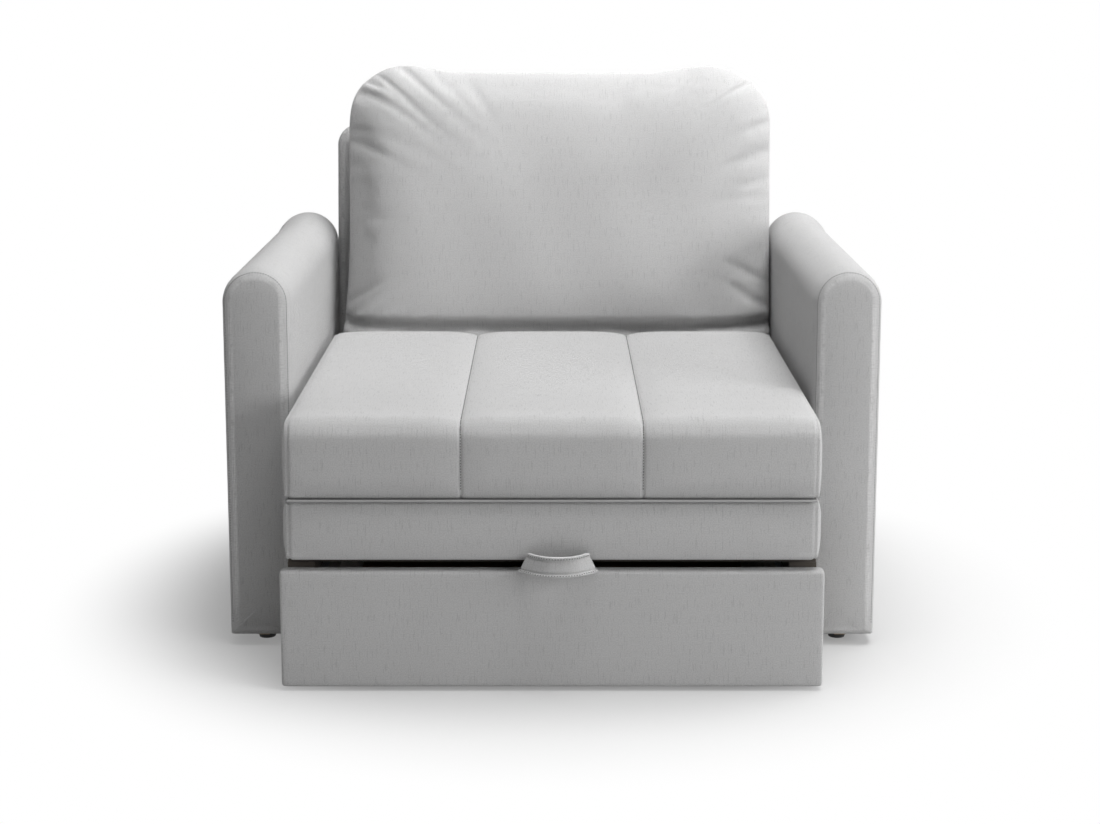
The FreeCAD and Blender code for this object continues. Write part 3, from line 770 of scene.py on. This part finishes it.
def cushion_square():
    """A square grid of points from -1 to 1 each way, closer together near its rim."""
    u = np.sin(np.linspace(-math.pi / 2, math.pi / 2, CUSHION_COLUMNS))
    v = np.sin(np.linspace(-math.pi / 2, math.pi / 2, CUSHION_ROWS))
    u = RIM_CROWDING * u + (1 - RIM_CROWDING) * np.linspace(-1, 1, CUSHION_COLUMNS)
    v = RIM_CROWDING * v + (1 - RIM_CROWDING) * np.linspace(-1, 1, CUSHION_ROWS)
    return np.meshgrid(u, v, indexing="ij")


def cushion_plan(u, v):
    """The outline seen from the front: each square ring becomes a superellipse, then its sides
    and its top take the cushion's own curves. Gives x and the distance up the leaning layer.
    """
    reach = np.maximum(np.abs(u), np.abs(v))
    safe = np.maximum(reach, TINY)
    a, b = np.abs(u) / safe, np.abs(v) / safe
    high = np.clip(0.5 + 0.5 * v / safe, 0, 1)
    power = CORNER_POWERS[0] + (CORNER_POWERS[1] - CORNER_POWERS[0]) * high
    round_off = (a ** power + b ** power) ** (-1 / power)
    p, q = u * round_off, v * round_off
    left = LEFT_WIDTH + LEFT_FOOT_FLARE * np.clip(-q, 0, 1) ** 2
    x = np.where(p < 0, left * p, RIGHT_WIDTH * p)
    ears = EAR_RISE * np.exp(-((np.abs(p) - EAR_PLACE) / EAR_WIDTH) ** 2)
    lean = shape().back_lean
    lift = BACK_FOOT_Z - SEAM_LAYER * math.sin(lean)
    top = (CUSHION_TOP + ears - lift) / math.cos(lean)
    foot = (CUSHION_FOOT - lift) / math.cos(lean)
    up = foot * (1 - q) / 2 + top * (1 + q) / 2
    return x, up, reach


def rim_place(u, v, reach):
    """Where a point lies round the rim, from 0 to AROUND: the right side has its middle at 1,
    the top at 3, the left side at 5 and the foot at 7.
    """
    safe = np.maximum(reach, TINY)
    a, b = u / safe, v / safe
    sides = np.where(a > 0, 1 + b, 5 - b)
    ends = np.where(b > 0, 3 - a, 7 + a)
    return np.where(np.abs(a) >= np.abs(b), sides, ends)


def crease_depth(u, v, reach, seed):
    """Gathers that run in from the seam: narrow valleys across the rim, at uneven places.

    Each is depth * exp(-(place / width)^2) * exp(-distance / length), where the place is
    measured round the rim and the distance inwards from it. Corners have the deepest ones.
    """
    rng = np.random.default_rng(seed)
    place = rim_place(u, v, reach)
    total = np.zeros_like(u)
    for _ in range(CREASES):
        where = rng.uniform(0, AROUND)
        middle = math.exp(-((where % 2 - 1) / MIDDLE_SPAN) ** 2)
        depth = rng.uniform(*CREASE_DEPTHS) * (CORNER_MORE - middle)
        width = rng.uniform(*CREASE_WIDTHS)
        length = rng.uniform(*CREASE_LENGTHS)
        drift = rng.uniform(-CREASE_DRIFT, CREASE_DRIFT)
        offset = (place - where + AROUND / 2) % AROUND - AROUND / 2 - drift * (1 - reach)
        total += depth * np.exp(-(offset / width) ** 2) * np.exp(-(1 - reach) / length)
    return total


def slow_waves(x, up, seed):
    """A gentle unevenness: a few long sine waves across the panel."""
    rng = np.random.default_rng(seed)
    total = np.zeros_like(x)
    for _ in range(WAVE_COUNT):
        turn = rng.uniform(0, math.pi)
        length = rng.uniform(*WAVE_LENGTHS)
        along = x * math.cos(turn) + up * math.sin(turn)
        total += np.sin(2 * math.pi * along / length + rng.uniform(0, 2 * math.pi))
    return total * UNEVEN / WAVE_COUNT


def cushion_panel(outwards):
    """One face of the cushion: half its thickness times (1 - reach^power)^0.5, less creases."""
    u, v = cushion_square()
    x, up, reach = cushion_plan(u, v)
    crown = np.sqrt(np.clip(1 - reach ** PANEL_POWER, 0, 1))
    full = shape().cushion_thickness / 2 * (1 - LOW_FULLNESS * v)
    uneven = slow_waves(x, up, CREASE_SEED + outwards) * crown
    creases = crease_depth(u, v, reach, CREASE_SEED - outwards) * np.minimum(crown * CREASE_FADE, 1)
    thickness = np.maximum(full * crown + uneven - creases, 0)
    grid = leaning(SEAM_LAYER + outwards * thickness, np.stack((x, up), axis=-1))
    return grid, np.stack((x, up), axis=-1)


def settle(points):
    """Presses the cushion flat where it rests: on the back, on the fixed section, against the
    arms and behind the folding section. Just above that section it draws back into a waist
    depth * exp(-((height - waist) / width)^2), and the waist rises and falls a little.
    """
    lean = shape().back_lean
    x, y, z = points.T
    through = (y - BACK_FOOT_Y) * math.cos(lean) - (z - BACK_FOOT_Z) * math.sin(lean)
    extra = np.maximum(through + BACK_CLEARANCE, 0)
    y = y - extra / math.cos(lean)
    waist = WAIST_HEIGHT + WAIST_WAVE * pucker(x - CUSHION_LOW.x, CREASE_SEED)
    front = y < (CUSHION_LOW.y + CUSHION_HIGH.y) / 2
    draw = WAIST_DEPTH * np.exp(-((z - waist) / WAIST_WIDTH) ** 2) * front
    y = np.where(z < waist + WAIST_WIDTH, np.maximum(y, CUSHION_LOW.y), y) + draw
    x = np.clip(x, -SIDE_LIMIT, SIDE_LIMIT)
    z = np.maximum(z, CUSHION_LOW.z)
    return np.stack((x, y, z), axis=-1)


def simulate(piece):
    """Lets the cloth swell under pressure, each point by no more than the cap.

    A point that moves by m ends at cap * tanh(m / cap) from where it was.
    """
    start = vertex_places(piece.data)
    cloth = piece.modifiers.new("swell", "CLOTH")
    settings = cloth.settings
    settings.use_pressure = True
    settings.uniform_pressure_force = CLOTH_PRESSURE
    settings.mass = CLOTH_MASS
    settings.tension_stiffness = CLOTH_STIFFNESS
    settings.effector_weights.gravity = 0
    cloth.point_cache.frame_end = CLOTH_FRAMES
    for frame_number in range(1, CLOTH_FRAMES + 1):
        bpy.context.scene.frame_set(frame_number)
    swollen = piece.evaluated_get(bpy.context.evaluated_depsgraph_get())
    move = vertex_places(swollen.data) - start
    piece.modifiers.remove(cloth)
    length = np.maximum(np.linalg.norm(move, axis=1, keepdims=True), TINY)
    bpy.context.scene.frame_set(1)
    return start + move * CLOTH_CAP * np.tanh(length / CLOTH_CAP) / length


def vertex_places(mesh):
    """The places of a mesh's points."""
    places = np.empty(len(mesh.vertices) * 3)
    mesh.vertices.foreach_get("co", places)
    return places.reshape(-1, 3)


class CHAIRBED_OT_cushion(bpy.types.Operator):
    """Builds the loose back cushion"""

    bl_idname = "chair_bed.cushion"
    bl_label = "Back cushion"

    def execute(self, context):
        piece = mesh_piece("cushion_cover", [cushion_panel(-1), cushion_panel(1)])
        places = simulate(piece)
        piece.data.vertices.foreach_set("co", settle(places).ravel())
        piece.data.update()
        smooth = piece.modifiers.new("smooth", "SUBSURF")
        smooth.levels = smooth.render_levels = 1
        # The cushion takes a lighter copy of the cloth: painted light
        dress(piece, "back_cushion", "cushion", fabric("cushion_cloth_painted_lighter", CUSHION_PAINTED_LIGHT))
        return {"FINISHED"}


# Pull strap

STRAP_MIDDLE = 0.009
STRAP_FOOT_HALF = 0.056
STRAP_TOP_HALF = 0.043
STRAP_BAND = 0.029
STRAP_TAIL_BAND = 0.011
STRAP_THICKNESS = 0.0032
STRAP_COLUMNS = 90
STRAP_TAIL = 0.016
STRAP_BOW_POWER = 2.4
HEM_PLACES = (0.05, 0.95)
HEM_CREASES = (0.17, 0.83)
HEM_WIDTH = 0.06
HEM_CREASE = 0.8
STRAP_END = 1.16
TAIL_SPAN = 0.16
TAIL_NARROWING = 2
EDGE_ROUND = 0.45
TURN_START = 0.6
TURN_SPAN = 0.4
BOW_LEAN = 0.12
STRAP_ROOT = 0.004
STRAP_REST = 0.0004


def strap_profile():
    """The strap cut across: how far each point lies from its middle layer, how far up the band
    it lies from 0 to 1, and the length travelled. Each edge has a hem and a crease beside it.
    """
    half = STRAP_THICKNESS / 2
    profile, length = round_rectangle((-half, 0), (half, 1.0), (STRAP_THICKNESS * EDGE_ROUND,) * 4)
    layer, up = profile[None, :, 0], profile[None, :, 1]
    hem = sum(np.exp(-((up - place) / HEM_WIDTH) ** 2) for place in HEM_PLACES)
    crease = sum(np.exp(-((up - place) / HEM_WIDTH) ** 2) for place in HEM_CREASES)
    return layer * (1 + hem - HEM_CREASE * crease), up, length


def strap_grid():
    """The strap: its thin profile carried along a bow that leans out at its foot.

    Along the bow, x goes from side to side and the reach is 1 - |x|^power of the whole; each
    end turns back under the seat, where the band narrows.
    """
    turn = np.linspace(-STRAP_END, STRAP_END, STRAP_COLUMNS)[:, None]
    layer, up, length = strap_profile()
    tail = np.clip((np.abs(turn) - 1) / TAIL_SPAN, 0, 1)
    a = np.clip(turn, -1, 1)
    band = STRAP_BAND + (STRAP_TAIL_BAND - STRAP_BAND) * np.clip(tail * TAIL_NARROWING, 0, 1)
    half = STRAP_FOOT_HALF + (STRAP_TOP_HALF - STRAP_FOOT_HALF) * up
    side = np.sign(a) * np.clip((np.abs(a) - TURN_START) / TURN_SPAN, 0, 1)
    x = STRAP_MIDDLE + a * half - layer * side
    root = SEAT_LOW.y - STRAP_ROOT
    bow = (STRAP_LOW.y - root) * (1 - np.abs(a) ** STRAP_BOW_POWER) * (1 - BOW_LEAN * up)
    y = root + bow + tail * STRAP_TAIL + layer * (1 - np.abs(side))
    z = STRAP_LOW.z + STRAP_REST + up * band
    grid = np.stack(np.broadcast_arrays(x, y, z), axis=-1)
    chart = np.broadcast_arrays(turn * STRAP_FOOT_HALF, length[None, :] * STRAP_BAND)
    return grid, np.stack(chart, axis=-1)


class CHAIRBED_OT_strap(bpy.types.Operator):
    """Builds the pull strap of the drawer"""

    bl_idname = "chair_bed.strap"
    bl_label = "Pull strap"

    def execute(self, context):
        piece = mesh_piece("strap_cover", [strap_grid()])
        dress(piece, "pull_strap", "drawer", fabric("seat_cloth"))
        return {"FINISHED"}


# Stitches

STITCH_RADIUS = 0.0009
STITCH_SHARE = 0.62
STITCH_SIDES = 6
STITCH_RINGS = 4
ARM_STITCH_INSET = 0.005
STRAP_STITCH_SHARES = (0.10, 0.90)
SEAT_STITCH_ENDS = (0.012, 0.020)
SEAT_STITCH_ZONE = 0.03
PAST_FRONT = 9
ARM_STITCH_FOOT = 4
UPRIGHT = 0.9
UP = (0.0, 0.0, 1.0)
REARWARDS = (0.0, 1.0, 0.0)
THREAD_FINISH = ((0.22, 0.22, 0.22), 0.7, 0.0, 900.0)


def spaced(path, spacing):
    """Points at even distances along a path, with the direction of the path at each."""
    step = np.linalg.norm(np.diff(path, axis=0), axis=1)
    travelled = np.concatenate(([0.0], np.cumsum(step)))
    at = np.arange(spacing / 2, travelled[-1], spacing)
    places = np.column_stack([np.interp(at, travelled, axis) for axis in path.T])
    segment = np.clip(np.searchsorted(travelled, at) - 1, 0, len(step) - 1)
    return places, np.diff(path, axis=0)[segment] / step[segment][:, None]


def stitch_grid(place, direction, spacing):
    """One stitch: an ellipsoid of a few rings at a place, long in the direction."""
    rings = np.linspace(-1, 1, STITCH_RINGS + 1)
    turns = np.linspace(0, 2 * math.pi, STITCH_SIDES + 1)
    side = np.cross(direction, UP if abs(direction[2]) < UPRIGHT else REARWARDS)
    side /= np.linalg.norm(side)
    other = np.cross(direction, side)
    radius = STITCH_RADIUS * np.sqrt(np.clip(1 - rings ** 2, 0, 1))
    ring = np.cos(turns)[:, None] * side + np.sin(turns)[:, None] * other
    centre = place + rings[:, None] * direction * spacing * STITCH_SHARE / 2
    return centre[:, None, :] + radius[:, None, None] * ring[None, :, :]


def stitches(name, paths, body):
    """Rows of short threads along paths, as one piece."""
    spacing = shape().stitch_length
    grids = []
    for path in paths:
        for place, direction in zip(*spaced(path, spacing)):
            grid = stitch_grid(place, direction, spacing)
            grids.append((grid, np.zeros(grid.shape[:2] + (2,))))
    piece = mesh_piece(name, grids, close=False)
    piece.data.materials.append(thread())
    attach(piece, body)


def thread():
    """The material of the stitching thread, made once."""
    return bpy.data.materials.get("thread") or plain_finish("thread", *THREAD_FINISH)


def seat_stitch_paths():
    """Along both sewn seams of the folding section, up its front and then over its top."""
    points = seat_pad().points
    y, z = points.T
    on_top = (z > z.max() - SEAT_STITCH_ZONE) & (y < y.max() - SEAT_STITCH_ENDS[1])
    on_front = (y < y.min() + SEAT_STITCH_ZONE) & (z > z.min() + SEAT_STITCH_ENDS[0])
    shown = points[on_top | on_front]
    front = shown[:, 0] < y.min() + SEAT_STITCH_ZONE
    order = np.where(front, shown[:, 1] - shown[:, 0], shown[:, 0] + PAST_FRONT)
    shown = shown[np.argsort(order)]
    return [across(np.full(len(shown), mark), shown) for mark in channel_marks()[1:3]]


def arm_stitch_path(sign):
    """Round the padded border of an arm's front, a little inside its outline."""
    pad = arm_pad(sign)
    moved = inset(pad.points, np.full(len(pad.points), ARM_STITCH_INSET), pad.reach)
    arch = moved[moved[:, 1] > ARM_LOW.z + ARM_STITCH_FOOT * ARM_STITCH_INSET]
    middle = arch[:, 0].mean()
    turn = np.arctan2(arch[:, 0] - middle, arch[:, 1] - (ARM_HIGH.z + ARM_LOW.z) / 2)
    arch = arch[np.argsort(turn)]
    radius = shape().arm_front_radius
    along = ARM_LOW.y + radius - math.sqrt(radius ** 2 - (radius - ARM_STITCH_INSET) ** 2)
    return lengthwise(np.full(len(arch), along), arch)


def strap_stitch_paths():
    """Along the lower and the upper edge of the strap's outer face."""
    grid, _ = strap_grid()
    y, z = grid[..., 1], grid[..., 2]
    low, high = z.min(axis=1), z.max(axis=1)
    paths = []
    for share in STRAP_STITCH_SHARES:
        height = low + (high - low) * share
        far = np.abs(z - height[:, None]) + (y - y.min(axis=1)[:, None])
        paths.append(grid[np.arange(len(grid)), np.argmin(far, axis=1)])
    return paths


class CHAIRBED_OT_stitches(bpy.types.Operator):
    """Adds the rows of stitches on the seat, the arms and the strap"""

    bl_idname = "chair_bed.stitches"
    bl_label = "Stitches"

    def execute(self, context):
        stitches("seat_stitches", seat_stitch_paths(), "upper_section")
        for side, sign in SIDES:
            stitches("arm_stitches_" + side, [arm_stitch_path(sign)], "carcass")
        stitches("strap_stitches", strap_stitch_paths(), "drawer")
        return {"FINISHED"}


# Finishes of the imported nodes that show

BOARD_FINISHES_AND_PAINTED_SHADE = {
    "chipboard": ((0.55, 0.42, 0.27), (60.0, 60.0, 60.0), 0.35),
    "plywood": ((0.30, 0.23, 0.15), (20.0, 3.0, 120.0), 0.30),
    # timber is nearly black: painted shade that darkens the drawer gap where it shows
    "timber": ((0.07, 0.06, 0.05), (60.0, 4.0, 60.0), 0.30),
    "laminate": ((0.62, 0.60, 0.56), (40.0, 3.0, 40.0), 0.10),
    "hardboard": ((0.26, 0.16, 0.09), (80.0, 80.0, 80.0), 0.20),
}
PLAIN_FINISHES = {
    "steel": ((0.56, 0.56, 0.58), 0.35, 1.0, 120.0),
    "runner_steel": ((0.62, 0.62, 0.63), 0.45, 0.0, 60.0),
    "runner_plastic": ((0.70, 0.70, 0.67), 0.5, 0.0, 60.0),
    "black_plastic": ((0.03, 0.03, 0.03), 0.5, 0.0, 90.0),
    "wheel_rubber": ((0.06, 0.06, 0.06), 0.7, 0.0, 200.0),
    "hinge_fabric": ((0.30, 0.30, 0.30), 0.9, 0.0, 900.0),
}


class CHAIRBED_OT_finishes(bpy.types.Operator):
    """Gives the boards, rails, runners, bolts and castors their finishes; the timber's near-black
    colour is painted shade
    """

    bl_idname = "chair_bed.finishes"
    bl_label = "Finishes"

    def execute(self, context):
        made = {slot: board(slot, *values) for slot, values in BOARD_FINISHES_AND_PAINTED_SHADE.items()}
        made.update({slot: plain_finish(slot, *values) for slot, values in PLAIN_FINISHES.items()})
        slots = {entry["node"]: entry["material_slot"] for entry in frame["record"]["subparts"]}
        for name, part in frame["nodes"].items():
            if slots[name] in made:
                for socket in part.material_slots:
                    socket.material = made[slots[name]]
        return {"FINISHED"}


# Stage

FRONT_SWELL = 0.0025
CAMERA_HEIGHT = 1.06
CAMERA_DISTANCE = 2.8
CAMERA_TILT = math.radians(9.5)
LENS = 65.0
PHOTO_WIDTH = 1100
AXIS_ABOVE_MIDDLE = 115
MIDDLE_OFFSET = 2
SEAT_FRONT_Y = SEAT_LOW.y - FRONT_SWELL
LIGHTS = (
    ("key_light", (0.7, -0.1, 3.4), (0.0, 0.1, 0.4), 2.4, 150.0),
    ("right_light", (3.2, -1.8, 1.3), (0.0, 0.0, 0.5), 1.8, 78.0),
)
WORLD_LIGHT = 0.27
FLOOR_SIZE = 60.0
FLOOR_BOUNCE = 0.62
FLOOR_GLOW = 0.25
SHADOW_REACH = (0.53, 0.86)
FLOOR_LIT = 0.50
COLOUR_A, COLOUR_B, COLOUR_RESULT = 6, 7, 2


def add_camera():
    """A camera on the chair's middle line, tilted down, with its frame shifted down a little."""
    data = bpy.data.cameras.new("camera")
    data.lens = LENS
    data.shift_y = -AXIS_ABOVE_MIDDLE / PHOTO_WIDTH
    data.shift_x = -MIDDLE_OFFSET / PHOTO_WIDTH
    camera = bpy.data.objects.new("camera", data)
    camera.location = (0, SEAT_FRONT_Y - CAMERA_DISTANCE, CAMERA_HEIGHT)
    camera.rotation_euler = (math.pi / 2 - CAMERA_TILT, 0, 0)
    bpy.context.collection.objects.link(camera)
    bpy.context.scene.camera = camera


def add_light(name, place, aim, size, power):
    """A soft square lamp at a place, turned to a point."""
    data = bpy.data.lights.new(name, "AREA")
    data.size = size
    data.energy = power
    lamp = bpy.data.objects.new(name, data)
    lamp.location = place
    toward = np.subtract(aim, place)
    flat = math.hypot(toward[0], toward[1])
    lamp.rotation_euler = (math.atan2(flat, -toward[2]), 0, math.atan2(-toward[0], toward[1]))
    bpy.context.collection.objects.link(lamp)


def white_behind(tree, camera_colour, other_colour):
    """A colour that the camera and mirrors see, and another that lights the object."""
    path = node(tree, "ShaderNodeLightPath")
    seen = maths(tree, "MAXIMUM", path.outputs["Is Camera Ray"],
                 maths(tree, "MAXIMUM", path.outputs["Is Glossy Ray"],
                       path.outputs["Is Transmission Ray"]))
    mix = node(tree, "ShaderNodeMix", data_type="RGBA")
    tree.links.new(seen, mix.inputs["Factor"])
    mix.inputs[COLOUR_A].default_value = (*(other_colour,) * 3, 1)
    mix.inputs[COLOUR_B].default_value = (*(camera_colour,) * 3, 1)
    return mix.outputs[COLOUR_RESULT]


def floor_material():
    """White that glows where the camera looks, except for the soft shadow near the chair, where
    the glow gives way to what the lamps and the chair leave on the floor.
    """
    material, tree, shader = new_material("floor_white", 1.0)
    distance = node(tree, "ShaderNodeVectorMath", operation="LENGTH")
    tree.links.new(node(tree, "ShaderNodeTexCoord").outputs["Object"], distance.inputs[0])
    far = ramp(tree, distance.outputs["Value"], *SHADOW_REACH)
    glow = maths(tree, "ADD", FLOOR_GLOW, maths(tree, "MULTIPLY", far, 1 - FLOOR_GLOW))
    path = node(tree, "ShaderNodeLightPath")
    seen = maths(tree, "MAXIMUM", path.outputs["Is Camera Ray"], path.outputs["Is Glossy Ray"])
    shown = maths(tree, "MULTIPLY", maths(tree, "SUBTRACT", 1.0, glow), FLOOR_LIT)
    bounce = maths(tree, "MULTIPLY", maths(tree, "SUBTRACT", 1.0, seen), FLOOR_BOUNCE)
    colour = maths(tree, "ADD", bounce, maths(tree, "MULTIPLY", seen, shown))
    tree.links.new(colour, shader.inputs["Base Color"])
    shader.inputs["Emission Color"].default_value = (1, 1, 1, 1)
    tree.links.new(maths(tree, "MULTIPLY", seen, glow), shader.inputs["Emission Strength"])
    shader.inputs["Specular IOR Level"].default_value = 0.0
    return material


def add_floor():
    """A wide white floor under the chair."""
    half = FLOOR_SIZE / 2
    line = np.array((-half, half))
    x, y = np.meshgrid(line, line, indexing="ij")
    grid = np.stack((x, y, np.zeros_like(x)), axis=-1)
    floor = mesh_piece("floor", [(grid, grid[..., :2])], smooth=False, close=False)
    floor.data.materials.append(floor_material())


def add_world():
    """White behind everything for the camera, and a weaker even light on the object."""
    world = bpy.data.worlds.new("studio")
    world.use_nodes = True
    tree = world.node_tree
    tree.links.new(white_behind(tree, 1.0, WORLD_LIGHT), tree.nodes["Background"].inputs["Color"])
    bpy.context.scene.world = world


class CHAIRBED_OT_stage(bpy.types.Operator):
    """Adds the floor, the lights and the camera"""

    bl_idname = "chair_bed.stage"
    bl_label = "Stage"

    def execute(self, context):
        context.scene.view_settings.view_transform = "Standard"
        add_camera()
        add_floor()
        add_world()
        for values in LIGHTS:
            add_light(*values)
        return {"FINISHED"}


class CHAIRBED_PT_panel(bpy.types.Panel):
    """Lists the operators and their settings in the 3D view's sidebar"""

    bl_idname = "CHAIRBED_PT_panel"
    bl_label = "Chair bed"
    bl_space_type = "VIEW_3D"
    bl_region_type = "UI"
    bl_category = "Chair bed"

    def draw(self, context):
        for settings in (context.scene.chair_bed_shape, context.scene.chair_bed_fabric):
            for name in settings.__annotations__:
                self.layout.prop(settings, name)
        for operator in OPERATORS:
            self.layout.operator(operator.bl_idname)


SETTINGS = (ChairBedFabric, ChairBedShape)
OPERATORS = (CHAIRBED_OT_finishes, CHAIRBED_OT_arms, CHAIRBED_OT_back, CHAIRBED_OT_seat,
             CHAIRBED_OT_drawer_front, CHAIRBED_OT_cushion, CHAIRBED_OT_strap,
             CHAIRBED_OT_stitches, CHAIRBED_OT_stage)
CLASSES = SETTINGS + OPERATORS + (CHAIRBED_PT_panel,)


def register():
    """Makes the settings, operators and panel known to Blender."""
    for kind in CLASSES:
        bpy.utils.register_class(kind)
    bpy.types.Scene.chair_bed_fabric = bpy.props.PointerProperty(type=ChairBedFabric)
    bpy.types.Scene.chair_bed_shape = bpy.props.PointerProperty(type=ChairBedShape)


def unregister():
    """Takes them away again."""
    del bpy.types.Scene.chair_bed_shape
    del bpy.types.Scene.chair_bed_fabric
    for kind in reversed(CLASSES):
        bpy.utils.unregister_class(kind)


def main():
    """Builds the chair bed."""
    register()
    for operator in OPERATORS:
        getattr(bpy.ops.chair_bed, operator.bl_idname.split(".")[1])()


if __name__ == "__main__":
    main()
